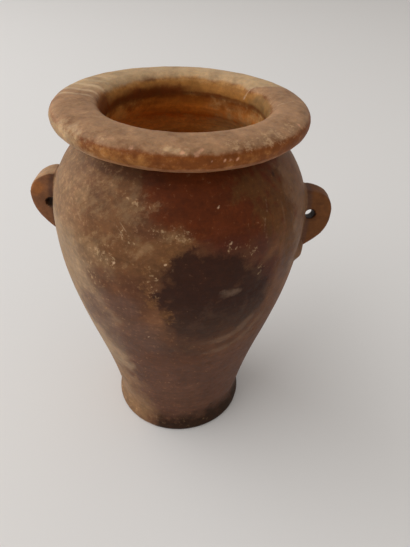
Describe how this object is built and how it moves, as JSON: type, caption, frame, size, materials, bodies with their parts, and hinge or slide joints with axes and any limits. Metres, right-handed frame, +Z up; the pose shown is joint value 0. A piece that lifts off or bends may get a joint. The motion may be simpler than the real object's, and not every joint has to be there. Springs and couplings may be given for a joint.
{
  "type": "stone amphoriskos",
  "caption": "Small hollow stone jar with a wide flat-topped lip, a swelling shoulder tapering to a low foot, and two pierced half-round lugs.",
  "frame": {"origin": "middle of the flat underside of the foot", "axes": "+Z up along the jar's axis; the lugs lie on the X axis; the side with the dark stain faces -Y"},
  "size_m": [0.1049, 0.0866, 0.1321],
  "materials": {
    "banded_calcite": "worn satin"
  },
  "bodies": {
    "root": {"vessel": "banded_calcite"}
  },
  "joints": []
}
